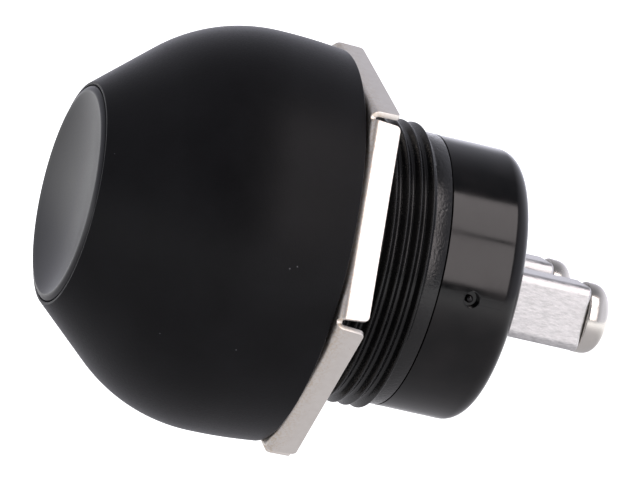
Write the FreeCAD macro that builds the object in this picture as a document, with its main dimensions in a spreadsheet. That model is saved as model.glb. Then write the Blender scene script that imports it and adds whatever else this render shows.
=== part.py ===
import FreeCAD, Part
import math
import os
import re
import Sketcher

# Panel push button, M22 thread, normally open, momentary.
# Frame: the button's axis is Y. The finger button faces -Y, the terminals point to +Y and +Z is up.
# The origin is on the axis, in the plane of the head's rear rim, where the panel's front face lies.

doc = FreeCAD.newDocument("push_button")
dims = doc.addObject("Spreadsheet::Sheet", "dims")

sizes = {
    # head
    "head_length": 18.05,
    "head_lip": 2.1,
    "head_widest_at": 5.2,
    "head_tail_taper": 0.3,
    "head_rim_edge": 0.12,
    "head_cone_length": 4.5,
    "head_land": 0.22,
    "head_wall": 2.7,
    "chamber_room": 0.8,
    # finger button
    "finger_width": 16.45,
    "finger_gap": 0.1,
    "finger_proud": 0.25,
    "finger_rim": 0.45,
    "finger_rim_fall": 0.25,
    "finger_rim_round": 0.6,
    "finger_dish": 1.4,
    "finger_wall": 1.0,
    "finger_crown": 3.4,
    "finger_skirt": 5.45,
    "finger_collar_lip": 0.975,
    "finger_collar": 1.2,
    "pocket_gap": 0.4,
    "boss_set_back": 0.3,
    "finger_boss_width": 9.0,
    "stop_gap": 0.05,
    "press_travel": 2.5,
    # stem
    "stem_width": 5.9,
    "stem_gap": 0.05,
    "stem_plug_width": 4.0,
    "stem_plug": 4.0,
    "stem_shoulder_at": 3.4,
    "spigot_width": 3.0,
    "spigot_tail": 0.9,
    "plug_gap": 0.05,
    "groove_depth": 0.3,
    # threaded bush
    "flange_lip": 0.3,
    "flange_depth": 2.2,
    "flange_gap": 0.05,
    "thread_width": 22.0,
    "thread_length": 7.3,
    "thread_pitch": 1.0,
    "thread_depth": 0.5,
    "thread_crest": 0.2,
    "thread_start": 0.55,
    "thread_edge": 0.2,
    "thread_over": 0.1,
    "band_step": 0.025,
    "band_length": 1.25,
    "bush_wall": 1.175,
    "web_rear_at": 1.6,
    "seal_section": 1.3,
    "seal_gap": 0.08,
    "seat_width": 13.0,
    "seat_sheet": 0.5,
    # gasket and nut
    "gasket_clear": 0.3,
    "gasket_band": 1.3,
    "gasket_groove": 0.7,
    "gasket_proud": 0.1,
    "gasket_gap": 0.05,
    "nut_rim": 2.9,
    "nut_sheet": 0.45,
    "nut_bend": 0.58,
    "nut_depth": 2.3,
    "nut_corner": 0.433,
    "nut_tab_taper": 0.2,
    "nut_bore_gap": 0.1,
    "nut_gap": 0.05,
    "nut_turn": 11.9,
    # rear cap
    "seam": 0.15,
    "cap_length": 6.4,
    "cap_edge": 1.4,
    "cap_floor": 2.5,
    "spigot_ring_reach": 4.2,
    "spigot_ring_gap": 0.05,
    "ring_lead": 0.3,
    "cap_wall": 0.95,
    "mark_width": 1.3,
    "mark_slot": 0.6,
    "mark_depth": 0.18,
    "mark_from_rear": 3.85,
    # terminals
    "post_spacing": 10.65,
    "post_width": 4.5,
    "post_height": 5.0,
    "post_reach": 6.05,
    "post_edge": 0.7,
    "post_gap": 0.03,
    "post_tail": 2.6,
    "post_end_edge": 0.45,
    "retainer_sheet": 1.0,
    "tap_width": 3.0,
    "tap_depth": 6.5,
    "screw_gap": 0.05,
    "screw_length": 5.0,
    "screw_head": 5.4,
    "screw_rim": 1.15,
    "screw_crown": 1.05,
    "screw_lift": 0.02,
    "drive_width": 0.85,
    "drive_span": 3.1,
    "drive_depth": 1.2,
    # contacts
    "contact_gap": 1.5,
    "rivet_width": 3.2,
    "rivet_head": 0.75,
    "rivet_shank": 1.6,
    "rivet_gap": 0.02,
    "rivet_tail": 0.3,
    "bridge_end": 0.675,
    "bridge_width": 5.0,
    "bridge_flat": 0.2,
    "bridge_sheet": 0.8,
    "bridge_hole_gap": 0.1,
    "clip_sheet": 0.5,
    "clip_gap": 0.03,
    "clip_rim": 0.55,
    "clip_mouth": 2.0,
    # springs
    "spring_gap": 0.02,
    "return_wire": 0.7,
    "return_width": 11.1,
    "return_turns": 6.5,
    "contact_wire": 0.45,
    "contact_width": 5.0,
    "contact_turns": 3.0,
    # how far a cutting outline runs past the face that it cuts
    "cut_over": 1.0,
}
for row, (alias, size) in enumerate(sizes.items(), 1):
    dims.set("A%d" % row, alias)
    dims.set("B%d" % row, str(size))
    dims.setAlias("B%d" % row, alias)
doc.recompute()

# Widths that follow from the thread, outwards to the gasket, flange, nut and head, and inwards to the
# barrel and cap. Each is a formula on the sheet.
barrel_width = "(thread_width - 2 * (thread_depth + band_step))"
bush_bore = "(%s - 2 * bush_wall)" % barrel_width
cap_bore = "(%s - 2 * (spigot_ring_gap + cap_wall))" % bush_bore
gasket_inner = "(thread_width + 2 * gasket_clear)"
gasket_outer = "(%s + 2 * gasket_band)" % gasket_inner
flange_width = "(%s + 2 * (gasket_gap + flange_lip))" % gasket_outer
head_width = "(%s + 2 * (flange_gap + head_lip + head_tail_taper))" % flange_width
nut_bore = "(thread_width + 2 * nut_bore_gap)"
nut_flats = "(%s + 2 * nut_rim)" % nut_bore
nut_tab_width = "(%s * tan(30) - 2 * nut_corner)" % nut_flats
finger_collar_width = "(finger_width + 2 * finger_collar_lip)"
bridge_length = "(post_spacing + rivet_width + 2 * bridge_end)"
clip_width = "(spigot_width + 2 * clip_rim)"

# Places along the axis that more than one piece shares.
front = "(-head_length - finger_proud)"
shoulder = "(finger_skirt - head_length)"
collar_front = "(%s + stop_gap)" % shoulder
crown_back = "(%s + finger_crown)" % front
boss_back = "(%s + finger_collar - boss_set_back)" % collar_front
flange_front = "(-flange_depth)"
seat_front = "(-flange_depth - seat_sheet)"
band_back = "(thread_length + band_length)"
cap_front = "(thread_length + band_length + seam)"
cap_back = "(thread_length + band_length + seam + cap_length)"
floor_front = "(%s - cap_floor)" % cap_back
post_end = "(%s + post_reach)" % cap_back
post_front = "(%s - post_tail)" % floor_front
fixed_face = "(%s - rivet_head)" % post_front
moving_face = "(%s - contact_gap)" % fixed_face
bridge_back = "(%s - rivet_head)" % moving_face
bridge_front = "(%s - bridge_sheet)" % bridge_back
clip_front = "(%s + clip_gap)" % bridge_back
clip_back = "(%s + clip_sheet)" % clip_front
gland_floor = "(-flange_depth + seal_section + 2 * seal_gap)"


def formula(text):
    """The text as a document expression, with each size taken from the sheet."""
    return re.sub(r"[a-z_]+", lambda m: "dims." + m.group() if m.group() in sizes else m.group(), text)


def value(text):
    return text if isinstance(text, float) else float(dims.evalExpression(formula(text)))


def bind(thing, prop, text):
    thing.setExpression(prop, formula(text))


def make_body(name):
    body = doc.addObject("PartDesign::Body", name)
    body.Label = name
    return body


def plane_of(body, role):
    return [f for f in body.Origin.OriginFeatures if f.Role == role][0]


def new_sketch(body, role, name):
    sketch = body.newObject("Sketcher::SketchObject", name)
    sketch.AttachmentSupport = [(plane_of(body, role), "")]
    sketch.MapMode = "FlatFace"
    return sketch


def pin_point(sketch, edge, end, across, along):
    """Holds one end of an edge at a place given by two formulas. A plain number is left free."""
    for kind, text in (("DistanceX", across), ("DistanceY", along)):
        if isinstance(text, float):
            continue
        if text == "0":
            axis = -2 if kind == "DistanceX" else -1
            sketch.addConstraint(Sketcher.Constraint("PointOnObject", edge, end, axis))
            continue
        number = sketch.addConstraint(Sketcher.Constraint(kind, -1, 1, edge, end, value(text)))
        sketch.setExpression("Constraints[%d]" % number, formula(text))


def draw(sketch, corners):
    """A closed outline. A corner is (across, along), or (across, along, radius, side) where the edge
    that leaves it is an arc: side +1 bulges to the right of the way round, -1 to the left."""
    count = len(corners)
    ends = []
    places = [FreeCAD.Vector(value(c[0]), value(c[1]), 0) for c in corners]
    for i, corner in enumerate(corners):
        start, stop = places[i], places[(i + 1) % count]
        if len(corner) == 2:
            edge = sketch.addGeometry(Part.LineSegment(start, stop))
            ends.append((edge, 1, 2))
            continue
        radius, side = value(corner[2]), corner[3]
        half = (stop - start) * 0.5
        left = FreeCAD.Vector(-half.y, half.x, 0).normalize()
        rise = math.sqrt(max(radius ** 2 - half.Length ** 2, 0.0))
        centre = start + half + left * (side * rise)
        first, last = (start, stop) if side > 0 else (stop, start)
        turn = [math.atan2(p.y - centre.y, p.x - centre.x) for p in (first, last)]
        circle = Part.Circle(centre, FreeCAD.Vector(0, 0, 1), radius)
        edge = sketch.addGeometry(Part.ArcOfCircle(circle, turn[0], turn[1]))
        ends.append((edge, 1, 2) if side > 0 else (edge, 2, 1))
        if isinstance(corner[2], str):
            number = sketch.addConstraint(Sketcher.Constraint("Radius", edge, radius))
            sketch.setExpression("Constraints[%d]" % number, formula(corner[2]))
    for i, corner in enumerate(corners):
        edge, first, last = ends[i]
        after = ends[(i + 1) % count]
        sketch.addConstraint(Sketcher.Constraint("Coincident", edge, last, after[0], after[1]))
        pin_point(sketch, edge, first, corner[0], corner[1])
    return ends


def turned(name, corners):
    """A body turned about the Y axis from an outline of (radius, along) corners."""
    body = make_body(name)
    sketch = new_sketch(body, "XY_Plane", name + "_outline")
    draw(sketch, corners)
    turn = body.newObject("PartDesign::Revolution", name + "_turn")
    turn.Profile = sketch
    turn.ReferenceAxis = (sketch, ["V_Axis"])
    turn.Angle = 360
    return body


def turned_cut(body, name, corners):
    """Turns an outline about the body's own Y axis and takes it away."""
    sketch = new_sketch(body, "XY_Plane", name + "_outline")
    draw(sketch, corners)
    doc.recompute()
    before = body.Shape.Volume
    groove = body.newObject("PartDesign::Groove", name)
    groove.Profile = sketch
    groove.ReferenceAxis = (sketch, ["V_Axis"])
    groove.Angle = 360
    doc.recompute()
    assert body.Shape.Volume < before, name + " cut nothing"
    return groove


def along_y(body, kind, name, corners, start, length):
    """Pads or pockets an outline of (x, z) corners from start, over a length towards +Y."""
    sketch = new_sketch(body, "XZ_Plane", name + "_outline")
    bind(sketch, "AttachmentOffset.Base.z", "-(%s)" % start)
    draw(sketch, corners)
    feature = body.newObject("PartDesign::" + kind, name)
    feature.Profile = sketch
    bind(feature, "Length", length)
    feature.Reversed = kind == "Pad"
    doc.recompute()
    return feature


def box_corners(wide, high):
    return [("-(%s) / 2" % wide, "-(%s) / 2" % high), ("(%s) / 2" % wide, "-(%s) / 2" % high),
            ("(%s) / 2" % wide, "(%s) / 2" % high), ("-(%s) / 2" % wide, "(%s) / 2" % high)]


def rounded_corners(wide, high, radius, across="0"):
    """A rectangle with rounded corners, its middle at across on the X axis."""
    corners = []
    for sx, sz in ((1, -1), (1, 1), (-1, 1), (-1, -1)):
        x = "%s + %d * (%s) / 2" % (across, sx, wide)
        z = "%d * (%s) / 2" % (sz, high)
        inner_x = "%s - %d * (%s)" % (x, sx, radius)
        inner_z = "%s - %d * (%s)" % (z, sz, radius)
        first, last = ((inner_x, z), (x, inner_z)) if sx * sz < 0 else ((x, inner_z), (inner_x, z))
        corners.append(first + (radius, 1))
        corners.append(last)
    return corners


def drill(body, name, across, width, start, length):
    """A round hole along Y, its centre at across on the X axis."""
    sketch = new_sketch(body, "XZ_Plane", name + "_circle")
    bind(sketch, "AttachmentOffset.Base.z", "-(%s)" % start)
    circle = Part.Circle(FreeCAD.Vector(value(across), 0, 0), FreeCAD.Vector(0, 0, 1), value(width) / 2)
    edge = sketch.addGeometry(circle)
    pin_point(sketch, edge, 3, across, "0")
    number = sketch.addConstraint(Sketcher.Constraint("Diameter", edge, value(width)))
    sketch.setExpression("Constraints[%d]" % number, formula(width))
    hole = body.newObject("PartDesign::Pocket", name)
    hole.Profile = sketch
    bind(hole, "Length", length)
    doc.recompute()
    return hole


def coil(name, width, wire, turns, start, stop):
    """A coil spring on the Y axis, its ends flush with start and stop."""
    body = make_body(name)
    sketch = new_sketch(body, "XY_Plane", name + "_wire")
    radius = "(%s - %s) / 2" % (width, wire)
    first = "%s + %s / 2" % (start, wire)
    centre = FreeCAD.Vector(value(radius), value(first), 0)
    edge = sketch.addGeometry(Part.Circle(centre, FreeCAD.Vector(0, 0, 1), value(wire) / 2))
    pin_point(sketch, edge, 3, radius, first)
    number = sketch.addConstraint(Sketcher.Constraint("Diameter", edge, value(wire)))
    sketch.setExpression("Constraints[%d]" % number, formula(wire))
    helix = body.newObject("PartDesign::AdditiveHelix", name + "_coil")
    helix.Profile = sketch
    helix.ReferenceAxis = (sketch, ["V_Axis"])
    helix.Mode = "height-turns-angle"
    bind(helix, "Height", "%s - (%s) - %s" % (stop, start, wire))
    bind(helix, "Turns", turns)
    return body


def round_edges(body, name, radius, wanted):
    """Fillets the edges of the body that the test picks."""
    base = body.Tip
    picked = ["Edge%d" % (i + 1) for i, edge in enumerate(base.Shape.Edges) if wanted(edge)]
    fillet = body.newObject("PartDesign::Fillet", name)
    fillet.Base = (base, picked)
    bind(fillet, "Radius", radius)
    doc.recompute()
    return fillet


def lies_at(edge, along):
    """True if the whole edge lies in the plane across the axis at that place."""
    box = edge.BoundBox
    return abs(box.YMin - along) < 1e-4 and abs(box.YMax - along) < 1e-4


# ---- Head: a domed shell whose front bore guides the finger button ----
bore = "(finger_width / 2 + finger_gap)"
pocket = "(%s / 2 + pocket_gap)" % finger_collar_width
widest = "(%s / 2)" % head_width
rim = "(%s - head_tail_taper)" % widest
tail = "(head_widest_at - head_rim_edge)"
tail_arc = "((%s ^ 2 + (%s - %s) ^ 2) / (2 * (%s - %s)))" % (tail, widest, rim, widest, rim)
recess = "(%s / 2 + flange_gap)" % flange_width
chamber = "(%s - head_wall)" % rim
# The nose cone runs into a shoulder arc that ends parallel to the axis at the widest place. The
# sketch finds where they meet, and these two numbers only start it near its answer.
nose_guess = 12.34
shoulder_guess = 12.94
head = make_body("dome_head")
head_sketch = new_sketch(head, "XY_Plane", "dome_head_outline")
edges = draw(head_sketch, [
    (bore, "-head_length"),
    ("%s + head_land" % bore, "-head_length"),
    (nose_guess, "-head_length + head_cone_length", shoulder_guess, 1),
    (widest, "-head_widest_at", tail_arc, 1),
    (rim, "-head_rim_edge", "head_rim_edge", 1),
    ("%s - head_rim_edge" % rim, "0"),
    (recess, "0"),
    (recess, flange_front),
    (chamber, flange_front),
    (chamber, "%s + press_travel + finger_collar + chamber_room" % shoulder),
    (pocket, "%s + finger_collar" % shoulder),
    (pocket, shoulder),
    (bore, shoulder),
])
cone_edge, shoulder_edge, tail_edge = edges[1], edges[2], edges[3]
head_sketch.addConstraint(Sketcher.Constraint("Tangent", cone_edge[0], shoulder_edge[0]))
head_sketch.addConstraint(
    Sketcher.Constraint("Horizontal", shoulder_edge[0], 3, tail_edge[0], tail_edge[1]))
head_turn = head.newObject("PartDesign::Revolution", "dome_head_turn")
head_turn.Profile = head_sketch
head_turn.ReferenceAxis = (head_sketch, ["V_Axis"])
head_turn.Angle = 360

# ---- Finger button: a dished cap with a skirt, a collar behind the shoulder and a boss for the stem ----
dish = "(finger_width / 2 - finger_rim)"
dish_arc = "((%s ^ 2 + finger_dish ^ 2) / (2 * finger_dish))" % dish
skirt = "(finger_width / 2 - finger_wall)"
collar_back = "(%s + finger_collar)" % collar_front
socket = "(stem_plug_width / 2 + plug_gap)"
stem_front = "(%s + plug_gap)" % boss_back
socket_floor = "(%s - stem_plug - plug_gap)" % boss_back
turned("finger_button", [
    ("0", "%s + finger_dish" % front, dish_arc, -1),
    (dish, front, "finger_rim_round", 1),
    ("finger_width / 2", "%s + finger_rim_fall" % front),
    ("finger_width / 2", collar_front),
    ("%s / 2" % finger_collar_width, collar_front),
    ("%s / 2" % finger_collar_width, collar_back),
    (skirt, collar_back),
    (skirt, crown_back),
    ("finger_boss_width / 2", crown_back),
    ("finger_boss_width / 2", boss_back),
    (socket, boss_back),
    (socket, socket_floor),
    ("0", socket_floor),
])

# ---- Stem: plugs into the button's boss, slides in the bush and carries the contact bridge ----
stem = "(stem_width / 2)"
spigot = "(spigot_width / 2)"
stem_end = "(%s + clip_gap + spigot_tail)" % clip_back
turned("plunger_stem", [
    ("0", "%s - stem_plug" % stem_front),
    ("stem_plug_width / 2 - groove_depth", "%s - stem_plug" % stem_front),
    ("stem_plug_width / 2", "%s - stem_plug + groove_depth" % stem_front),
    ("stem_plug_width / 2", stem_front),
    (stem, stem_front),
    (stem, "stem_shoulder_at"),
    (spigot, "stem_shoulder_at"),
    (spigot, bridge_back),
    ("%s - groove_depth" % spigot, bridge_back),
    ("%s - groove_depth" % spigot, "%s + clip_gap" % clip_back),
    (spigot, "%s + clip_gap" % clip_back),
    (spigot, "%s - groove_depth" % stem_end),
    ("%s - groove_depth" % spigot, stem_end),
    ("0", stem_end),
])

# ---- Threaded bush: flange, thread and a plain band, with a web that guides the stem ----
guide = "(%s + stem_gap)" % stem
gland = "(%s + 2 * seal_gap + seal_section)" % stem
bush_bore_edge = "(%s / 2)" % bush_bore
bush = turned("threaded_bush", [
    (gland, flange_front),
    ("%s / 2" % flange_width, flange_front),
    ("%s / 2" % flange_width, "0"),
    ("%s / 2 + gasket_gap" % gasket_outer, "0"),
    ("%s / 2 + gasket_gap" % gasket_outer, "-gasket_groove"),
    ("%s / 2 - gasket_gap" % gasket_inner, "-gasket_groove"),
    ("%s / 2 - gasket_gap" % gasket_inner, "0"),
    ("thread_width / 2", "0"),
    ("thread_width / 2", "thread_length - thread_edge"),
    ("thread_width / 2 - thread_edge", "thread_length"),
    ("%s / 2" % barrel_width, "thread_length"),
    ("%s / 2" % barrel_width, band_back),
    (bush_bore_edge, band_back),
    (bush_bore_edge, "web_rear_at"),
    (guide, "web_rear_at"),
    (guide, gland_floor),
    (gland, gland_floor),
])
doc.recompute()
plain_bush = bush.Shape.Volume
# The groove's flanks meet at 60 degrees.
flank = "((thread_pitch - thread_crest) / 2 + thread_over * tan(30))"
root = "((thread_pitch - thread_crest) / 2 - thread_depth * tan(30))"
thread_sketch = new_sketch(bush, "XY_Plane", "thread_groove_outline")
draw(thread_sketch, [
    ("thread_width / 2 + thread_over", "thread_start - %s" % flank),
    ("thread_width / 2 + thread_over", "thread_start + %s" % flank),
    ("thread_width / 2 - thread_depth", "thread_start + %s" % root),
    ("thread_width / 2 - thread_depth", "thread_start - %s" % root),
])
thread = bush.newObject("PartDesign::SubtractiveHelix", "thread_groove")
thread.Profile = thread_sketch
thread.ReferenceAxis = (thread_sketch, ["V_Axis"])
thread.Mode = "pitch-height-angle"
bind(thread, "Pitch", "thread_pitch")
bind(thread, "Height", "thread_length - thread_start + thread_pitch / 2")
doc.recompute()
assert bush.Shape.Volume < plain_bush, "the thread cut nothing"

# ---- Seals and the seat washer under the return spring ----
turned("panel_gasket", [
    ("%s / 2" % gasket_inner, "-gasket_groove"),
    ("%s / 2" % gasket_outer, "-gasket_groove"),
    ("%s / 2" % gasket_outer, "gasket_proud"),
    ("%s / 2" % gasket_inner, "gasket_proud"),
])
seal = doc.addObject("Part::Torus", "stem_seal")
seal.Label = "stem_seal"
bind(seal, "Radius1", "%s + seal_gap + seal_section / 2" % stem)
bind(seal, "Radius2", "seal_section / 2")
seal.Placement.Rotation = FreeCAD.Rotation(FreeCAD.Vector(1, 0, 0), -90)
bind(seal, "Placement.Base.y", "-flange_depth + seal_gap + seal_section / 2")
turned("spring_seat", [
    ("%s + 2 * seal_gap" % stem, seat_front),
    ("seat_width / 2", seat_front),
    ("seat_width / 2", flange_front),
    ("%s + 2 * seal_gap" % stem, flange_front),
])

# ---- Pressed hexagon nut: a flat plate with a flange bent back along each side ----
nut_front = "(gasket_proud + nut_gap)"
nut_back = "(%s + nut_depth)" % nut_front
half_flats = "(%s / 2)" % nut_flats
plate_edge = "(%s - nut_bend)" % half_flats
nut = make_body("panel_nut")
plate = []
for side in range(6):
    for end in (-1, 1):
        reach = "%d * %s / 2" % (end, nut_tab_width)
        plate.append((
            "%s * sin(%d) + %s * cos(%d)" % (plate_edge, 60 * side, reach, 60 * side),
            "%s * cos(%d) - %s * sin(%d)" % (plate_edge, 60 * side, reach, 60 * side),
        ))
along_y(nut, "Pad", "nut_plate", plate, nut_front, "nut_sheet")
tab_sketch = new_sketch(nut, "YZ_Plane", "nut_tab_outline")
lap = "(%s - nut_bend)" % plate_edge
draw(tab_sketch, [
    (nut_front, lap),
    ("%s + nut_sheet" % nut_front, lap),
    ("%s + nut_sheet" % nut_front, plate_edge, "nut_bend - nut_sheet", -1),
    ("%s + nut_bend" % nut_front, "%s - nut_sheet" % half_flats),
    (nut_back, "%s - nut_sheet" % half_flats),
    (nut_back, half_flats),
    ("%s + nut_bend" % nut_front, half_flats, "nut_bend", 1),
    (nut_front, plate_edge),
])
tab = nut.newObject("PartDesign::Pad", "nut_tab")
tab.Profile = tab_sketch
tab.Midplane = True
bind(tab, "Length", nut_tab_width)
doc.recompute()
shaped = [tab]
for end, word in ((-1, "left"), (1, "right")):
    trim_sketch = new_sketch(nut, "XY_Plane", "nut_trim_%s_outline" % word)
    bind(trim_sketch, "AttachmentOffset.Base.z", "%s + cut_over" % half_flats)
    reach = "%d * %s / 2" % (end, nut_tab_width)
    draw(trim_sketch, [
        (reach, "%s + nut_bend" % nut_front),
        ("%s + %d * cut_over" % (reach, end), "%s + nut_bend" % nut_front),
        ("%s + %d * cut_over" % (reach, end), "%s + cut_over" % nut_back),
        ("%s - %d * (nut_tab_taper + nut_sheet)" % (reach, end), "%s + cut_over" % nut_back),
        ("%s - %d * (nut_tab_taper + nut_sheet)" % (reach, end), nut_back, "nut_sheet", -end),
        ("%s - %d * nut_tab_taper" % (reach, end), "%s - nut_sheet" % nut_back),
    ])
    trim = nut.newObject("PartDesign::Pocket", "nut_trim_%s" % word)
    trim.Profile = trim_sketch
    bind(trim, "Length", "cut_over + 2 * nut_sheet")
    doc.recompute()
    shaped.append(trim)
ring = nut.newObject("PartDesign::PolarPattern", "nut_sides")
ring.Originals = shaped
ring.Axis = (plane_of(nut, "Y_Axis"), [""])
ring.Angle = 360
ring.Occurrences = 6
nut.Tip = ring
doc.recompute()
drill(nut, "nut_hole", "0", nut_bore, "%s - cut_over" % nut_front, "nut_sheet + 2 * cut_over")
nut.Placement.Rotation = FreeCAD.Rotation(FreeCAD.Vector(0, 1, 0), sizes["nut_turn"])

# ---- Rear cap: closes the barrel, its ring plugs into the bush and its floor holds the terminals ----
ring_front = "(%s - spigot_ring_reach)" % cap_front
ring_edge = "(%s - spigot_ring_gap)" % bush_bore_edge
cap = turned("rear_cap", [
    ("0", floor_front),
    ("%s / 2" % cap_bore, floor_front),
    ("%s / 2" % cap_bore, ring_front),
    ("%s - ring_lead" % ring_edge, ring_front),
    (ring_edge, "%s + 2 * ring_lead" % ring_front),
    (ring_edge, cap_front),
    ("%s / 2" % barrel_width, cap_front),
    ("%s / 2" % barrel_width, "%s - cap_edge" % cap_back, "cap_edge", 1),
    ("%s / 2 - cap_edge" % barrel_width, cap_back),
    ("0", cap_back),
])
slot_wide = "(post_width + 2 * post_gap)"
slot_high = "(post_height + 2 * post_gap)"
for sign, word in ((-1, "left"), (1, "right")):
    across = "%d * post_spacing / 2" % sign
    along_y(cap, "Pocket", "post_slot_" + word,
            rounded_corners(slot_wide, slot_high, "post_edge", across),
            "%s - post_tail - cut_over" % floor_front, "post_tail + cap_floor + 2 * cut_over")
mark_at = "(%s - mark_from_rear)" % cap_back
for sign, word in ((-1, "left"), (1, "right")):
    for shape in ("eye", "slot"):
        mark_sketch = new_sketch(cap, "YZ_Plane", "mark_%s_%s_outline" % (shape, word))
        bind(mark_sketch, "AttachmentOffset.Base.z", "%d * %s / 2" % (sign, barrel_width))
        if shape == "eye":
            centre = FreeCAD.Vector(value(mark_at), 0, 0)
            eye = Part.Circle(centre, FreeCAD.Vector(0, 0, 1), value("mark_width") / 2)
            edge = mark_sketch.addGeometry(eye)
            pin_point(mark_sketch, edge, 3, mark_at, "0")
            number = mark_sketch.addConstraint(Sketcher.Constraint("Diameter", edge, value("mark_width")))
            mark_sketch.setExpression("Constraints[%d]" % number, formula("mark_width"))
        else:
            draw(mark_sketch, [
                (mark_at, "-mark_slot / 2"),
                ("%s + cut_over" % cap_back, "-mark_slot / 2"),
                ("%s + cut_over" % cap_back, "mark_slot / 2"),
                (mark_at, "mark_slot / 2"),
            ])
        mark = cap.newObject("PartDesign::Pocket", "mark_%s_%s" % (shape, word))
        mark.Profile = mark_sketch
        bind(mark, "Length", "mark_depth")
        mark.Reversed = sign < 0
        doc.recompute()

# ---- Insulating plate that keeps the terminals square in the cap ----
retainer = turned("post_retainer", [
    ("0", "%s - retainer_sheet - rivet_gap" % floor_front),
    ("%s / 2 - post_gap" % cap_bore, "%s - retainer_sheet - rivet_gap" % floor_front),
    ("%s / 2 - post_gap" % cap_bore, "%s - rivet_gap" % floor_front),
    ("0", "%s - rivet_gap" % floor_front),
])
for sign, word in ((-1, "left"), (1, "right")):
    along_y(retainer, "Pocket", "retainer_slot_" + word,
            rounded_corners(slot_wide, slot_high, "post_edge", "%d * post_spacing / 2" % sign),
            "%s - retainer_sheet - cut_over" % floor_front, "retainer_sheet + 2 * cut_over")

# ---- Terminals and fixed contacts, one of each on either side ----
head_under = "(%s + screw_lift)" % post_end
head_top = "(%s + screw_rim + screw_crown)" % head_under
shank = "(tap_width / 2 - screw_gap)"
crown_arc = "(((screw_head / 2) ^ 2 + screw_crown ^ 2) / (2 * screw_crown))"
rivet_hole = "(rivet_shank / 2 + rivet_gap)"
rivet_reach = "(rivet_head * 2)"
rivet_edge = "(rivet_head / 4)"
for sign, word in ((-1, "left"), (1, "right")):
    post = make_body("terminal_post_" + word)
    along_y(post, "Pad", "post_bar_" + word,
            rounded_corners("post_width", "post_height", "post_edge"),
            post_front, "%s - %s" % (post_end, post_front))
    end = value(post_end)
    round_edges(post, "post_end_" + word, "post_end_edge", lambda edge: lies_at(edge, end))
    turned_cut(post, "post_tap_" + word, [
        ("0", "%s - tap_depth" % post_end),
        ("tap_width / 2", "%s - tap_depth" % post_end),
        ("tap_width / 2", "%s + cut_over" % post_end),
        ("0", "%s + cut_over" % post_end),
    ])
    turned_cut(post, "post_rivet_hole_" + word, [
        ("0", "%s - cut_over" % post_front),
        (rivet_hole, "%s - cut_over" % post_front),
        (rivet_hole, "%s + %s" % (post_front, rivet_reach)),
        ("0", "%s + %s" % (post_front, rivet_reach)),
    ])
    screw = turned("terminal_screw_" + word, [
        ("0", "%s - screw_length" % head_under),
        ("%s - groove_depth" % shank, "%s - screw_length" % head_under),
        (shank, "%s - screw_length + groove_depth" % head_under),
        (shank, head_under),
        ("screw_head / 2 - %s" % rivet_edge, head_under),
        ("screw_head / 2", "%s + %s" % (head_under, rivet_edge)),
        ("screw_head / 2", "%s + screw_rim" % head_under, crown_arc, 1),
        ("0", head_top),
    ])
    for wide, high, way in (("drive_width", "drive_span", "up"), ("drive_span", "drive_width", "across")):
        along_y(screw, "Pocket", "drive_%s_%s" % (way, word), box_corners(wide, high),
                "%s - drive_depth" % head_top, "drive_depth + cut_over")
    fixed = turned("fixed_contact_" + word, [
        ("0", fixed_face),
        ("rivet_width / 2 - %s" % rivet_edge, fixed_face),
        ("rivet_width / 2", "%s + %s" % (fixed_face, rivet_edge)),
        ("rivet_width / 2", post_front),
        ("rivet_shank / 2", post_front),
        ("rivet_shank / 2", "%s + %s - rivet_gap" % (post_front, rivet_reach)),
        ("0", "%s + %s - rivet_gap" % (post_front, rivet_reach)),
    ])
    moving = turned("moving_contact_" + word, [
        ("0", "%s - rivet_tail" % bridge_front),
        ("rivet_shank / 2 + rivet_tail", "%s - rivet_tail" % bridge_front),
        ("rivet_shank / 2 + rivet_tail", bridge_front),
        ("rivet_shank / 2", bridge_front),
        ("rivet_shank / 2", bridge_back),
        ("rivet_width / 2", bridge_back),
        ("rivet_width / 2", "%s - %s" % (moving_face, rivet_edge)),
        ("rivet_width / 2 - %s" % rivet_edge, moving_face),
        ("0", moving_face),
    ])
    for piece in (post, screw, fixed, moving):
        bind(piece, "Placement.Base.x", "%d * post_spacing / 2" % sign)

# ---- Contact bridge and the clip that keeps it on the stem ----
bridge = make_body("contact_bridge")
along_y(bridge, "Pad", "bridge_strip",
        rounded_corners(bridge_length, "bridge_width", "(bridge_width - bridge_flat) / 2"),
        bridge_front, "bridge_sheet")
drill(bridge, "bridge_hole", "0", "spigot_width + 2 * bridge_hole_gap",
      "%s - cut_over" % bridge_front, "bridge_sheet + 2 * cut_over")
for sign, word in ((-1, "left"), (1, "right")):
    drill(bridge, "bridge_rivet_hole_" + word, "%d * post_spacing / 2" % sign,
          "2 * %s" % rivet_hole, "%s - cut_over" % bridge_front, "bridge_sheet + 2 * cut_over")
clip = turned("bridge_clip", [
    ("%s - groove_depth + clip_gap" % spigot, clip_front),
    ("%s / 2" % clip_width, clip_front),
    ("%s / 2" % clip_width, clip_back),
    ("%s - groove_depth + clip_gap" % spigot, clip_back),
])
along_y(clip, "Pocket", "clip_opening", [
    ("-clip_mouth / 2", "-%s" % clip_width),
    ("clip_mouth / 2", "-%s" % clip_width),
    ("clip_mouth / 2", "0"),
    ("-clip_mouth / 2", "0"),
], "%s - cut_over" % clip_front, "clip_sheet + 2 * cut_over")

# ---- Springs ----
coil("return_spring", "return_width", "return_wire", "return_turns",
     "%s + spring_gap" % crown_back, "%s - spring_gap" % seat_front)
coil("contact_spring", "contact_width", "contact_wire", "contact_turns",
     "stem_shoulder_at + spring_gap", "%s - spring_gap" % bridge_front)

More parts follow.
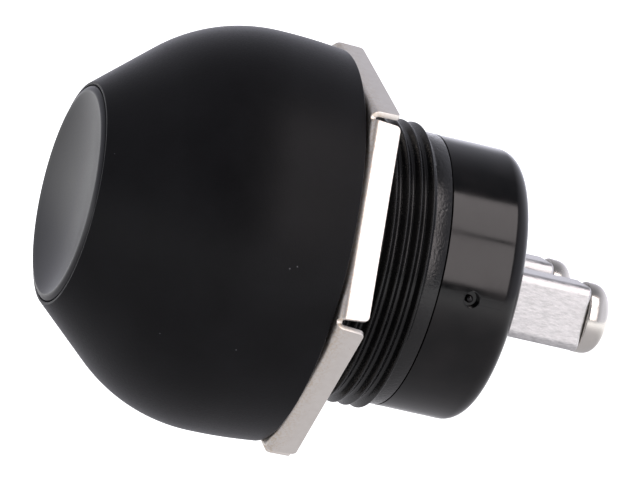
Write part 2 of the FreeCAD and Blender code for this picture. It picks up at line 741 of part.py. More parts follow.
doc.recompute()
for thing in doc.Objects:
    broken = [state for state in thing.State if state in ("Invalid", "Error")]
    assert not broken, thing.Name + " is " + ", ".join(broken)
pieces = [o for o in doc.Objects if o.TypeId in ("PartDesign::Body", "Part::Torus")]
for piece in pieces:
    shape = piece.Shape
    assert not shape.isNull() and shape.isValid() and shape.Volume > 0, piece.Label + " is not a valid solid"
    assert len(shape.Solids) == 1, piece.Label + " is not one solid"
os.makedirs("parts", exist_ok=True)
for piece in pieces:
    piece.Shape.exportStep("parts/%s.step" % piece.Label)
    box = piece.Shape.BoundBox
    print("%-22s %8.1f mm3  x %6.2f..%6.2f  y %6.2f..%6.2f  z %6.2f..%6.2f" % (
        piece.Label, piece.Shape.Volume, box.XMin, box.XMax, box.YMin, box.YMax, box.ZMin, box.ZMax))
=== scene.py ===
import bpy
import math
from mathutils import Matrix, Quaternion, Vector


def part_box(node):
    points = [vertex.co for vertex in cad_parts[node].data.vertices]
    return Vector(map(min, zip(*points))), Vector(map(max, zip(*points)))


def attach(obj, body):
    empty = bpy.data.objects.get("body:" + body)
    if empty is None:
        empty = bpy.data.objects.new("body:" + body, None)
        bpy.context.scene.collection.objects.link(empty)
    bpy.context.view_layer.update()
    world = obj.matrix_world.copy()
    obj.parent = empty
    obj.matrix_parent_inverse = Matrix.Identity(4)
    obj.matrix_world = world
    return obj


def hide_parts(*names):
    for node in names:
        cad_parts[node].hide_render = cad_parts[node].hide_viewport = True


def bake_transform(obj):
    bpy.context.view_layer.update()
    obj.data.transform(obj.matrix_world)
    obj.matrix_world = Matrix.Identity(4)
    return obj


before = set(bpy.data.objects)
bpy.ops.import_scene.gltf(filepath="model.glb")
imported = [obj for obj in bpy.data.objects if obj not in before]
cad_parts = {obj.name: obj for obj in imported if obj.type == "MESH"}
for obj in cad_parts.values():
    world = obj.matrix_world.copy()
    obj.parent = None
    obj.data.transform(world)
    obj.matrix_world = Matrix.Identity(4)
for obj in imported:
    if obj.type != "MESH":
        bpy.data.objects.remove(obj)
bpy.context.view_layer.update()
mm = 0.001
scene = bpy.context.scene
scene.view_settings.view_transform = "Standard"


# working tools

def deselect():
    if bpy.context.object and bpy.context.object.mode != "OBJECT":
        bpy.ops.object.mode_set(mode="OBJECT")
    bpy.ops.object.select_all(action="DESELECT")


def pick(piece):
    deselect()
    piece.select_set(True)
    bpy.context.view_layer.objects.active = piece


def edit(piece, pickAll=False):
    pick(piece)
    bpy.ops.object.mode_set(mode="EDIT")
    bpy.ops.mesh.select_mode(type="VERT")
    bpy.ops.mesh.select_all(action="SELECT" if pickAll else "DESELECT")


def selectWhere(piece, kind, test):
    # kind is vertices, edges or polygons; test gets the item's own corner places, in millimetres
    edit(piece)
    bpy.ops.mesh.select_mode(type={"vertices": "VERT", "edges": "EDGE", "polygons": "FACE"}[kind])
    bpy.ops.object.mode_set(mode="OBJECT")
    places = [v.co / mm for v in piece.data.vertices]
    for item in getattr(piece.data, kind):
        corners = [places[item.index]] if kind == "vertices" else [places[i] for i in item.vertices]
        item.select = test(corners)
    bpy.ops.object.mode_set(mode="EDIT")


def named(name):
    piece = bpy.context.object
    piece.name = name
    piece.data.name = name
    bpy.ops.object.transform_apply(location=True, rotation=True, scale=True)
    return piece


def modify(piece, kind, **settings):
    pick(piece)
    modifier = piece.modifiers.new(kind.lower(), kind)
    for key, setting in settings.items():
        setattr(modifier, key, setting)
    bpy.ops.object.modifier_apply(modifier=modifier.name)


def soften(piece, width, segments=2, angle=32):
    modify(piece, "BEVEL", width=width * mm, segments=segments, limit_method="ANGLE",
           angle_limit=math.radians(angle), use_clamp_overlap=True, harden_normals=False)


def smooth(piece, angle=32):
    pick(piece)
    bpy.ops.object.shade_smooth_by_angle(angle=math.radians(angle))


mergeGap = 0.0005  # millimetres between corners that are one


def tidyMesh(piece, gap=mergeGap):
    edit(piece, pickAll=True)
    bpy.ops.mesh.remove_doubles(threshold=gap * mm)
    bpy.ops.mesh.dissolve_degenerate(threshold=gap * mm)
    bpy.ops.mesh.normals_make_consistent(inside=False)
    deselect()


def cut(piece, cutter, how="DIFFERENCE"):
    modify(piece, "BOOLEAN", object=cutter, operation=how, solver="EXACT")
    bpy.data.objects.remove(cutter)


def joined(piece, *others):
    pick(piece)
    for other in others:
        other.select_set(True)
    bpy.ops.object.join()
    return piece


def arc(centre, radius, start, stop, steps):
    # corners along an arc of an outline, at angles in degrees from the radial direction towards +Y
    turns = [math.radians(start + (stop - start) * i / steps) for i in range(steps + 1)]
    return [(centre[0] + radius * math.cos(a), centre[1] + radius * math.sin(a)) for a in turns]


def bulge(start, stop, radius, steps):
    # corners along an arc from start to stop that swells outwards
    reach = math.degrees(math.asin(math.dist(start, stop) / 2 / radius))
    lean = math.degrees(math.atan2(stop[1] - start[1], stop[0] - start[0])) - 90
    first = math.radians(lean - reach)
    centre = (start[0] - radius * math.cos(first), start[1] - radius * math.sin(first))
    return arc(centre, radius, lean - reach, lean + reach, steps)


def turned(name, outline, sides=192, closed=False):
    # a ring is extruded and scaled from corner to corner of an outline of (radius, y), in millimetres
    deselect()
    rings = [(r, y) for r, y in outline if r > 0]
    radius, y = rings[0]
    bpy.ops.mesh.primitive_circle_add(vertices=sides, radius=radius * mm, location=(0, y * mm, 0),
                                      rotation=(math.pi / 2, 0, 0))
    piece = named(name)
    if outline[0][0] == 0:
        edit(piece, pickAll=True)
        bpy.ops.mesh.extrude_region_move(TRANSFORM_OT_translate={"value": (0, (outline[0][1] - y) * mm, 0)})
        bpy.ops.mesh.merge(type="CENTER")
        selectWhere(piece, "vertices", lambda c: math.hypot(c[0].x, c[0].z) > radius * 0.5)
    else:
        edit(piece, pickAll=True)
    for nextRadius, nextY in rings[1:]:
        bpy.ops.mesh.extrude_region_move(TRANSFORM_OT_translate={"value": (0, (nextY - y) * mm, 0)})
        grow = nextRadius / radius
        bpy.ops.transform.resize(value=(grow, 1, grow), center_override=(0, nextY * mm, 0))
        radius, y = nextRadius, nextY
    if outline[-1][0] == 0:
        bpy.ops.mesh.extrude_region_move(TRANSFORM_OT_translate={"value": (0, (outline[-1][1] - y) * mm, 0)})
        bpy.ops.mesh.merge(type="CENTER")
    if closed:
        bpy.ops.mesh.select_all(action="SELECT")
        bpy.ops.mesh.remove_doubles(threshold=mergeGap * mm)
    deselect()
    tidyMesh(piece)
    return piece


def swept(name, profile, pitch, turns, sides):
    # a profile of (radius, y) corners wound round the Y axis, rising one pitch a turn
    deselect()
    radius, y = profile[0]
    bpy.ops.mesh.primitive_plane_add(size=mm, location=(radius * mm, y * mm, 0))
    piece = named(name)
    edit(piece, pickAll=True)
    bpy.ops.mesh.merge(type="CENTER")
    for nextRadius, nextY in profile[1:]:
        step = ((nextRadius - radius) * mm, (nextY - y) * mm, 0)
        bpy.ops.mesh.extrude_region_move(TRANSFORM_OT_translate={"value": step})
        radius, y = nextRadius, nextY
    deselect()
    whole = max(1, round(turns))
    share = turns / whole
    modify(piece, "SCREW", axis="Y", angle=math.tau * share, screw_offset=pitch * mm * share,
           iterations=whole, steps=sides, render_steps=sides,
           use_merge_vertices=False, use_normal_calculate=False)
    return piece


def boxPiece(name, low, high):
    deselect()
    middle = [(a + b) / 2 * mm for a, b in zip(low, high)]
    span = [(b - a) * mm for a, b in zip(low, high)]
    bpy.ops.mesh.primitive_cube_add(size=1, location=middle, scale=span)
    return named(name)


def rod(name, radius, low, high, across=0, sides=48):
    deselect()
    bpy.ops.mesh.primitive_cylinder_add(vertices=sides, radius=radius * mm, depth=(high - low) * mm,
                                        location=(across * mm, (low + high) / 2 * mm, 0),
                                        rotation=(math.pi / 2, 0, 0))
    return named(name)


# materials

class Wire:
    # an output socket that can be used in a sum; each operator adds a Math node
    def __init__(self, paint, socket):
        self.paint = paint
        self.socket = socket

    def sum(self, operation, first, second):
        return self.paint.node("Math", {0: first, 1: second}, operation=operation)

    def __add__(self, other):
        return self.sum("ADD", self, other)

    def __radd__(self, other):
        return self.sum("ADD", other, self)

    def __sub__(self, other):
        return self.sum("SUBTRACT", self, other)

    def __rsub__(self, other):
        return self.sum("SUBTRACT", other, self)

    def __mul__(self, other):
        return self.sum("MULTIPLY", self, other)

    def __rmul__(self, other):
        return self.sum("MULTIPLY", other, self)

    def __lt__(self, other):
        return self.sum("LESS_THAN", self, other)


class Paint:
    def __init__(self, tree):
        self.tree = tree

    def node(self, kind, inputs={}, output=0, **settings):
        made = self.tree.nodes.new("ShaderNode" + kind)
        for key, setting in settings.items():
            setattr(made, key, setting)
        for key, put in inputs.items():
            self.put(made.inputs[key], put)
        return Wire(self, made.outputs[output])

    def put(self, socket, put):
        if isinstance(put, Wire):
            self.tree.links.new(put.socket, socket)
        else:
            socket.default_value = (*put, 1) if socket.type == "RGBA" and len(put) == 3 else put

    def place(self):
        # where a point is, in millimetres
        spot = self.node("TexCoord", output="Object")
        return self.node("VectorMath", {0: spot, "Scale": 1 / mm}, operation="SCALE")

    def stretched(self, scale):
        return self.node("VectorMath", {0: self.place(), 1: scale}, operation="MULTIPLY")

    def noise(self, where, scale, detail=2.0, rough=0.5):
        return self.node("TexNoise", {"Vector": where, "Scale": scale, "Detail": detail, "Roughness": rough})

    def ranged(self, put, low, high, newLow=0.0, newHigh=1.0):
        names = ("Value", "From Min", "From Max", "To Min", "To Max")
        return self.node("MapRange", dict(zip(names, (put, low, high, newLow, newHigh))))

    def mixed(self, share, first, second):
        return self.node("Mix", {"Factor": share, 6: first, 7: second}, output=2, data_type="RGBA")

    def bump(self, height, depth, strength=1.0, onto=None):
        inputs = {"Height": height, "Distance": depth * mm, "Strength": strength}
        if onto:
            inputs["Normal"] = onto
        return self.node("Bump", inputs)


def newPaint(name):
    material = bpy.data.materials.new(name)
    material.use_nodes = True
    paint = Paint(material.node_tree)
    paint.material = material
    paint.shader = material.node_tree.nodes["Principled BSDF"]
    return paint


def finishPaint(paint, **sockets):
    for key, put in sockets.items():
        paint.put(paint.shader.inputs[key.replace("_", " ")], put)
    return paint.material


def dust(paint, spacing, size, share):
    # sparse specks: small round spots, one to a cell, kept in only some of the cells
    cells = {"Vector": paint.place(), "Scale": 1 / spacing}
    near = paint.node("TexVoronoi", cells, output="Distance") < size / spacing
    keep = paint.node("SeparateColor", {0: paint.node("TexVoronoi", cells, output="Color")}) < share
    return near * keep


def blackPlastic(name, look):
    # moulded plastic: spark-eroded or polished skin, faint cloudy wear, specks of dust
    paint = newPaint(name)
    where = paint.place()
    cloud = paint.noise(where, look["cloudScale"], 4.0)
    grain = paint.noise(where, look["grainScale"], 2.0, 0.6)
    specks = dust(paint, look["dustSpacing"], look["dustSize"], look["dustShare"])
    base = paint.mixed(paint.ranged(cloud, 0.35, 0.7), look["dark"], look["light"])
    wear = (cloud - 0.5) * look["roughnessCloud"]
    roughness = look["roughness"] + wear + (grain - 0.5) * look["roughnessGrain"]
    skin = paint.bump(grain, look["grainDepth"])
    if "waveDepth" in look:
        skin = paint.bump(paint.noise(where, look["waveScale"], 1.0), look["waveDepth"], onto=skin)
    return finishPaint(paint, Base_Color=paint.mixed(specks, base, look["dustTone"]),
                       Roughness=roughness + specks * 0.3, Normal=skin, IOR=look["ior"],
                       Sheen_Weight=look.get("sheen", 0.0), Sheen_Roughness=0.3,
                       Sheen_Tint=(0.92, 0.93, 1.0))


blackLooks = {
    "headPlastic": {
        "dark": (0.0044, 0.0044, 0.005), "light": (0.0066, 0.0066, 0.0076), "roughness": 0.44,
        "roughnessCloud": 0.08, "roughnessGrain": 0.16, "cloudScale": 0.25, "grainScale": 6.0,
        "grainDepth": 0.008, "dustSpacing": 1.9, "dustSize": 0.055, "dustShare": 0.2,
        "dustTone": (0.12, 0.12, 0.13), "ior": 1.22, "sheen": 0.17},
    "fingerPlastic": {
        "dark": (0.009, 0.009, 0.0105), "light": (0.014, 0.014, 0.016), "roughness": 0.36,
        "roughnessCloud": 0.06, "roughnessGrain": 0.08, "cloudScale": 0.5, "grainScale": 8.0,
        "grainDepth": 0.002, "dustSpacing": 2.4, "dustSize": 0.05, "dustShare": 0.12,
        "dustTone": (0.2, 0.2, 0.21), "ior": 1.5},
    "threadPlastic": {
        "dark": (0.0012, 0.0012, 0.0014), "light": (0.0024, 0.0024, 0.0027), "roughness": 0.26,
        "roughnessCloud": 0.1, "roughnessGrain": 0.12, "cloudScale": 0.6, "grainScale": 4.0,
        "grainDepth": 0.003, "dustSpacing": 1.3, "dustSize": 0.05, "dustShare": 0.1,
        "dustTone": (0.1, 0.1, 0.1), "ior": 1.4},
    "bandPlastic": {
        "dark": (0.0018, 0.0018, 0.002), "light": (0.006, 0.0058, 0.006), "roughness": 0.2,
        "roughnessCloud": 0.06, "roughnessGrain": 0.3, "cloudScale": 5.0, "grainScale": 5.0,
        "grainDepth": 0.024, "dustSpacing": 1.1, "dustSize": 0.05, "dustShare": 0.1,
        "dustTone": (0.16, 0.16, 0.16), "ior": 1.46},
    "capPlastic": {
        "dark": (0.0012, 0.0012, 0.0014), "light": (0.0062, 0.0052, 0.0054), "roughness": 0.15,
        "roughnessCloud": 0.2, "roughnessGrain": 0.05, "cloudScale": 0.4, "grainScale": 3.0,
        "grainDepth": 0.0004, "waveScale": 0.6, "waveDepth": 0.006, "dustSpacing": 1.5,
        "dustSize": 0.045, "dustShare": 0.12, "dustTone": (0.12, 0.12, 0.12), "ior": 1.37},
    "rubber": {
        "dark": (0.006, 0.006, 0.006), "light": (0.011, 0.011, 0.011), "roughness": 0.7,
        "roughnessCloud": 0.1, "roughnessGrain": 0.1, "cloudScale": 0.8, "grainScale": 6.0,
        "grainDepth": 0.01, "dustSpacing": 1.2, "dustSize": 0.05, "dustShare": 0.2,
        "dustTone": (0.1, 0.1, 0.1), "ior": 1.5},
}
for name, look in blackLooks.items():
    blackPlastic(name, look)


def bendWarmReflection(paint, base, look):
    # painted warm reflection: golden speckles that fade out from the bend along each side
    along = paint.node("SeparateXYZ", {0: paint.place()}, output="Y")
    fade = paint.ranged(along, look["warmReflectionFrom"], look["warmReflectionUntil"], look["warmReflectionShare"], 0.0)
    speckle = paint.ranged(paint.noise(paint.place(), 5.0, 3.0, 0.7), 0.45, 0.62)
    return paint.mixed(fade * speckle, base, look["warmReflection"])


def platedMetal(name, look):
    # plating over pressed or drawn metal: drawn streaks along one way, orange peel and small pits
    paint = newPaint(name)
    where = paint.place()
    streak = paint.noise(paint.stretched(look["streakScale"]), 1.0, 3.0, 0.65)
    cloud = paint.noise(where, look["cloudScale"], 3.0)
    peel = paint.noise(where, look["peelScale"], 2.0)
    pits = paint.ranged(paint.noise(where, look["pitScale"], 1.0), look["pitEdge"], look["pitEdge"] + 0.06)
    share = paint.ranged(streak, 0.3, 0.7) if look.get("streakTone") else cloud
    base = paint.mixed(share, look["dark"], look["light"])
    base = paint.mixed(pits * look["pitTone"], base, look["pitColour"])
    # painted warm reflection near the bends, laid into the base colour as golden speckles
    if "warmReflection" in look:
        base = bendWarmReflection(paint, base, look)
    roughness = look["roughness"] + (streak - 0.5) * look["streakGloss"] + pits * 0.15
    skin = paint.bump(streak, look["streakDepth"])
    skin = paint.bump(peel - pits * 0.6, look["peelDepth"], onto=skin)
    return finishPaint(paint, Base_Color=base, Roughness=roughness, Metallic=1.0, Normal=skin)


metalLooks = {
    "nutNickel": {
        "dark": (0.76, 0.715, 0.66), "light": (0.88, 0.845, 0.795), "roughness": 0.4,
        "streakScale": (2, 2, 2), "streakGloss": 0.08, "streakDepth": 0.001,
        "cloudScale": 1.6, "peelScale": 4.0, "peelDepth": 0.006,
        "warmReflection": (0.62, 0.47, 0.29), "warmReflectionFrom": 0.3, "warmReflectionUntil": 1.7, "warmReflectionShare": 0.5,
        "pitScale": 4.0, "pitEdge": 0.72, "pitTone": 0.15, "pitColour": (0.4, 0.3, 0.2)},
    "postPlate": {
        "dark": (0.48, 0.475, 0.475), "light": (0.8, 0.785, 0.785), "roughness": 0.42,
        "streakScale": (6, 1.6, 6), "streakGloss": 0.5, "streakDepth": 0.02, "streakTone": True,
        "cloudScale": 1.2, "peelScale": 2.2, "peelDepth": 0.004,
        "pitScale": 5.0, "pitEdge": 0.7, "pitTone": 0.25, "pitColour": (0.5, 0.5, 0.52)},
    "screwNickel": {
        "dark": (0.6, 0.57, 0.53), "light": (0.68, 0.655, 0.615), "roughness": 0.2, "streakScale": (1, 1, 1),
        "streakGloss": 0.08, "streakDepth": 0.0005, "cloudScale": 0.8, "peelScale": 2.5, "peelDepth": 0.0015,
        "pitScale": 4.0, "pitEdge": 0.72, "pitTone": 0.4, "pitColour": (0.4, 0.34, 0.26)},
    "springSteel": {
        "dark": (0.4, 0.4, 0.41), "light": (0.55, 0.55, 0.56), "roughness": 0.32, "streakScale": (4, 4, 4),
        "streakGloss": 0.2, "streakDepth": 0.002, "cloudScale": 0.8, "peelScale": 3.0, "peelDepth": 0.001,
        "pitScale": 5.0, "pitEdge": 0.7, "pitTone": 0.3, "pitColour": (0.2, 0.2, 0.2)},
    "contactSilver": {
        "dark": (0.8, 0.79, 0.76), "light": (0.9, 0.89, 0.87), "roughness": 0.28, "streakScale": (3, 3, 3),
        "streakGloss": 0.1, "streakDepth": 0.001, "cloudScale": 1.0, "peelScale": 3.0, "peelDepth": 0.002,
        "pitScale": 5.0, "pitEdge": 0.7, "pitTone": 0.2, "pitColour": (0.5, 0.45, 0.3)},
    "bridgeCopper": {
        "dark": (0.66, 0.36, 0.2), "light": (0.8, 0.5, 0.3), "roughness": 0.34, "streakScale": (0.8, 6, 6),
        "streakGloss": 0.2, "streakDepth": 0.002, "cloudScale": 0.8, "peelScale": 3.0, "peelDepth": 0.002,
        "pitScale": 5.0, "pitEdge": 0.7, "pitTone": 0.4, "pitColour": (0.3, 0.15, 0.08)},
}
for name, look in metalLooks.items():
    platedMetal(name, look)


def plainPlastic(name, dark, light, roughness, fibre):
    # natural nylon or laminated board: a cloudy tone with fine fibres
    paint = newPaint(name)
    cloud = paint.noise(paint.place(), 0.7, 3.0)
    fibres = paint.noise(paint.stretched(fibre), 1.0, 3.0, 0.6)
    share = paint.ranged(cloud * 0.5 + fibres * 0.5, 0.35, 0.65)
    return finishPaint(paint, Base_Color=paint.mixed(share, dark, light),
                       Roughness=roughness + (fibres - 0.5) * 0.15, Normal=paint.bump(fibres, 0.004))


plainPlastic("stemNylon", (0.5, 0.48, 0.42), (0.62, 0.6, 0.54), 0.45, (2, 2, 2))
plainPlastic("retainerBoard", (0.16, 0.075, 0.03), (0.26, 0.13, 0.06), 0.55, (6, 1, 1))


def dress(piece, *names):
    piece.data.materials.clear()
    for name in names:
        piece.data.materials.append(bpy.data.materials[name])


def place(piece, body, node, material, sharp=32):
    smooth(piece, sharp)
    modify(piece, "WEIGHTED_NORMAL", keep_sharp=True)
    dress(piece, material)
    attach(piece, body)
    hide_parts(node)


print("materials ready")

# dome head
head = {
    "bore": 8.325,          # radius of the hole in the nose
    "land": 0.22,           # flat lip round it
    "nose": (12.34, -13.55),  # where the cone meets the shoulder
    "widestAt": -5.2,
    "taper": 0.3,           # how much narrower the rear rim is than the widest place
    "rimEdge": 0.12,
    "recess": 13.0,
    "recessDepth": 2.2,
    "chamber": 12.4,
    "chamberFront": -8.1,
    "pocket": 9.6,
    "pocketBack": -11.4,
    "shoulder": -12.6,
    "lip": 0.04,
}
headLow, headHigh = (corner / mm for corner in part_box("dome_head"))
headFront = headLow.y
headRadius = (headHigh.z - headLow.z) / 2
noseRadius, noseAt = head["nose"]
rise, run = headRadius - noseRadius, head["widestAt"] - noseAt
shoulderArc = (rise ** 2 + run ** 2) / (2 * rise)
tailRun = -head["rimEdge"] - head["widestAt"]
tailArc = (tailRun ** 2 + head["taper"] ** 2) / (2 * head["taper"])
rimRadius = headRadius - head["taper"]
outline = [(head["bore"], headFront), (head["bore"] + head["land"], headFront)]
outline += arc((headRadius - shoulderArc, head["widestAt"]), shoulderArc,
               -math.degrees(math.asin(run / shoulderArc)), 0, 28)
outline += arc((headRadius - tailArc, head["widestAt"]), tailArc,
               0, math.degrees(math.asin(tailRun / tailArc)), 8)[1:]
outline += arc((rimRadius - head["rimEdge"], -head["rimEdge"]), head["rimEdge"], 8, 90, 4)
outline += [
    (head["recess"], 0), (head["recess"], -head["recessDepth"]), (head["chamber"], -head["recessDepth"]),
    (head["chamber"], head["chamberFront"]), (head["pocket"], head["pocketBack"]),
    (head["pocket"], head["shoulder"]), (head["bore"], head["shoulder"]), (head["bore"], headFront)]
domeShell = turned("domeShell", outline, sides=256, closed=True)
soften(domeShell, head["lip"], 3)
place(domeShell, "housing", "dome_head", "headPlastic")
print("head ready")

# finger button
finger = {
    "radius": 8.225,
    "rim": 0.45,            # rounded rim outside the dish
    "rimFall": 0.25,
    "rimRound": 0.6,
    "dish": 1.4,
    "collarLip": 0.975,
    "collar": 1.2,
    "collarFront": -12.55,
    "skirt": 7.225,
    "crownBack": -14.9,
    "boss": 4.5,
    "bossBack": -11.65,
    "socket": 2.05,
    "socketFloor": -15.65,
    "edge": 0.04,
}
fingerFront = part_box("finger_button")[0].y / mm
dishRadius = finger["radius"] - finger["rim"]
dishArc = (dishRadius ** 2 + finger["dish"] ** 2) / (2 * finger["dish"])
dishTurn = math.degrees(math.asin(dishRadius / dishArc))
outline = [(0, fingerFront + finger["dish"])]
outline += arc((0, fingerFront + finger["dish"] - dishArc), dishArc, 90, 90 - dishTurn, 20)[1:]
collarBack = finger["collarFront"] + finger["collar"]
rimFoot = (finger["radius"], fingerFront + finger["rimFall"])
outline += bulge((dishRadius, fingerFront), rimFoot, finger["rimRound"], 6)[1:]
outline += [
    (finger["radius"], finger["collarFront"]),
    (finger["radius"] + finger["collarLip"], finger["collarFront"]),
    (finger["radius"] + finger["collarLip"], collarBack), (finger["skirt"], collarBack),
    (finger["skirt"], finger["crownBack"]), (finger["boss"], finger["crownBack"]),
    (finger["boss"], finger["bossBack"]), (finger["socket"], finger["bossBack"]),
    (finger["socket"], finger["socketFloor"]), (0, finger["socketFloor"])]
fingerCap = turned("fingerCap", outline, sides=192)
soften(fingerCap, finger["edge"], 3, 20)
place(fingerCap, "plunger", "finger_button", "fingerPlastic", 20)
print("finger button ready")

# threaded bush
bush = {
    "crest": 11.0,
    "root": 10.5,
    "pitch": 1.0,
    "crestRound": 0.11,
    "rootRound": 0.25,
    "flank": 60,            # how far each round turns before the straight flank
    "start": 0.55,          # where a groove's middle passes +X
    "threadEnd": 7.3,
    "barrel": 10.475,
    "bandBack": 8.58,
    "bore": 9.3,
    "webBack": 1.6,
    "guide": 3.0,
    "gland": 4.41,
    "glandFloor": -0.74,
    "flange": 12.95,
    "flangeFront": -2.2,
    "grooveIn": 11.25,
    "grooveOut": 12.65,
    "grooveFloor": -0.7,
    "edge": 0.06,
}
crestAt = bush["start"] + bush["pitch"] / 2 - 2 * bush["pitch"]
rootMiddle = bush["root"] + bush["rootRound"]
crestMiddle = bush["crest"] - bush["crestRound"]
half, flank = bush["pitch"] / 2, bush["flank"]
thread = arc((rootMiddle, crestAt - half), bush["rootRound"], 180, 180 - flank, 3)
thread += arc((crestMiddle, crestAt), bush["crestRound"], -flank, flank, 6)
thread += arc((rootMiddle, crestAt + half), bush["rootRound"], 180 + flank, 180, 3)
threadTurns = round(bush["threadEnd"] / bush["pitch"]) + 4
threadSkin = swept("threadSkin", thread, bush["pitch"], threadTurns, 160)
edit(threadSkin, pickAll=True)
bpy.ops.mesh.remove_doubles(threshold=0.002 * mm)
for at, clear in ((0.0, "clear_inner"), (bush["threadEnd"], "clear_outer")):
    bpy.ops.mesh.select_all(action="SELECT")
    bpy.ops.mesh.bisect(plane_co=(0, at * mm, 0), plane_no=(0, 1, 0), **{clear: True})
bushShell = turned("bushShell", [
    (bush["barrel"], bush["threadEnd"]), (bush["barrel"], bush["bandBack"]),
    (bush["bore"], bush["bandBack"]), (bush["bore"], bush["webBack"]),
    (bush["guide"], bush["webBack"]), (bush["guide"], bush["glandFloor"]),
    (bush["gland"], bush["glandFloor"]), (bush["gland"], bush["flangeFront"]),
    (bush["flange"], bush["flangeFront"]), (bush["flange"], 0), (bush["grooveOut"], 0),
    (bush["grooveOut"], bush["grooveFloor"]), (bush["grooveIn"], bush["grooveFloor"]),
    (bush["grooveIn"], 0)], sides=192)
soften(bushShell, bush["edge"], 2)
joined(bushShell, threadSkin)
for at, reach in ((0.0, bush["grooveIn"]), (bush["threadEnd"], bush["crest"])):
    selectWhere(bushShell, "edges", lambda c, at=at, reach=reach: all(
        abs(p.y - at) < 0.001 and bush["root"] - 0.03 < math.hypot(p.x, p.z) < reach + 0.01 for p in c))
    bpy.ops.mesh.bridge_edge_loops()
tidyMesh(bushShell)
smooth(bushShell, 34)
dress(bushShell, "threadPlastic", "bandPlastic")
selectWhere(bushShell, "polygons", lambda c: all(
    p.y > bush["threadEnd"] - 0.001 and math.hypot(p.x, p.z) > bush["barrel"] - 0.07 for p in c))
bushShell.active_material_index = 1
bpy.ops.object.material_slot_assign()
deselect()
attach(bushShell, "housing")
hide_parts("threaded_bush")
print("bush ready")

# panel nut, pressed from sheet
nut = {
    "flats": 28.0,
    "sheet": 0.45,
    "bend": 0.58,
    "tabWidth": 15.3,
    "taper": 0.2,
    "cornerRound": 0.35,
    "bore": 11.1,
    "turn": 11.9,
    "cuts": 15,
    "edge": 0.05,
}
nutLow, nutHigh = (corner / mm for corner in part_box("panel_nut"))
nutFront, nutBack = nutLow.y, nutHigh.y
bendLine = nut["flats"] / 2 - nut["bend"]
deselect()
bpy.ops.mesh.primitive_circle_add(vertices=6, radius=bendLine / math.cos(math.pi / 6) * mm,
                                  location=(0, nutFront * mm, 0), rotation=(math.pi / 2, math.pi / 6, 0))
nutPlate = named("nutPlate")
edit(nutPlate, pickAll=True)
bpy.ops.mesh.subdivide(number_cuts=nut["cuts"])
deselect()
bpy.ops.mesh.primitive_circle_add(vertices=6 * (nut["cuts"] + 1), radius=nut["bore"] * mm,
                                  location=(0, nutFront * mm, 0), rotation=(math.pi / 2, 0, 0))
hole = named("hole")
joined(nutPlate, hole)
edit(nutPlate, pickAll=True)
bpy.ops.mesh.bridge_edge_loops()
bends = [math.radians(90 * i / 6) for i in range(7)]
path = [(bendLine + nut["bend"] * math.sin(a), nutFront + nut["bend"] * (1 - math.cos(a))) for a in bends]
path.append((nut["flats"] / 2, nutBack))
for side in range(6):
    selectWhere(nutPlate, "edges", lambda c: all(
        abs(p.z - bendLine) < 0.01 and abs(p.y - nutFront) < 0.01 for p in c))
    wide = bendLine * math.tan(math.pi / 6) * 2
    for (z, y), (nextZ, nextY) in zip(path, path[1:]):
        step = (0, (nextY - y) * mm, (nextZ - z) * mm)
        bpy.ops.mesh.extrude_region_move(TRANSFORM_OT_translate={"value": step})
        nextWide = nut["tabWidth"] - 2 * nut["taper"] * (nextY - nutFront) / (nutBack - nutFront)
        bpy.ops.transform.resize(value=(nextWide / wide, 1, 1), center_override=(0, nextY * mm, nextZ * mm))
        wide = nextWide
    selectWhere(nutPlate, "vertices", lambda c: abs(c[0].y - nutBack) < 0.01
                and abs(abs(c[0].x) - wide / 2) < 0.01 and c[0].z > bendLine)
    bpy.ops.mesh.bevel(affect="VERTICES", offset=nut["cornerRound"] * mm, segments=4)
    edit(nutPlate, pickAll=True)
    bpy.ops.transform.rotate(value=math.pi / 3, orient_axis="Y", center_override=(0, 0, 0))
tidyMesh(nutPlate)
modify(nutPlate, "SOLIDIFY", thickness=nut["sheet"] * mm, offset=-1, use_even_offset=True)
soften(nutPlate, nut["edge"], 3, 40)
nutPlate.rotation_euler = (0, math.radians(nut["turn"]), 0)
pick(nutPlate)
bpy.ops.object.transform_apply(rotation=True)
place(nutPlate, "nut", "panel_nut", "nutNickel", 34)
print("nut ready")

# rear cap
cap = {
    "radius": 10.475,
    "front": 8.66,
    "back": 15.10,
    "edge": 1.4,
    "ring": 9.25,
    "ringFront": 4.5,
    "ringLead": 0.3,
    "bore": 8.3,
    "floor": 12.6,
    "seamEdge": 0.04,
    "slotGap": 0.03,
    "markFromRear": 3.85,
    "markRadius": 0.62,
    "markDepth": 0.5,
    "markLip": 0.05,
    "pip": 0.3,
    "pipAside": 0.15,
    "ridgeApart": 0.62,
    "ridgeWidth": 0.07,
    "ridgeProud": 0.03,
    "ridgeRoot": 0.1,       # how far a ridge reaches into the cap
    "lipOut": 0.02,         # the lip's ring, outside the eye and under the skin
    "lipUnder": 0.03,
}
post = {
    "spacing": 10.65,
    "width": 4.5,
    "height": 5.0,
    "edge": 0.7,
    "endEdge": 0.22,
    "front": 10.0,
    "hole": 1.5,
    "holeDepth": 6.5,
    "rivetHole": 0.82,
    "rivetDepth": 1.5,
}
outline = [(0, cap["floor"]), (cap["bore"], cap["floor"]), (cap["bore"], cap["ringFront"]),
           (cap["ring"] - cap["ringLead"], cap["ringFront"]),
           (cap["ring"], cap["ringFront"] + 2 * cap["ringLead"]), (cap["ring"], cap["front"]),
           (cap["radius"], cap["front"])]
outline += arc((cap["radius"] - cap["edge"], cap["back"] - cap["edge"]), cap["edge"], 0, 90, 12)
outline += [(0, cap["back"])]
rearCap = turned("rearCap", outline, sides=256)
soften(rearCap, cap["seamEdge"], 3)


def postBar(name, grow, low, high):
    # a square bar with its long edges rounded
    wide, tall = post["width"] / 2 + grow, post["height"] / 2 + grow
    bar = boxPiece(name, (-wide, low, -tall), (wide, high, tall))
    selectWhere(bar, "edges", lambda c: abs(c[0].y - c[1].y) > 1)
    bpy.ops.mesh.bevel(offset=post["edge"] * mm, segments=6)
    deselect()
    return bar


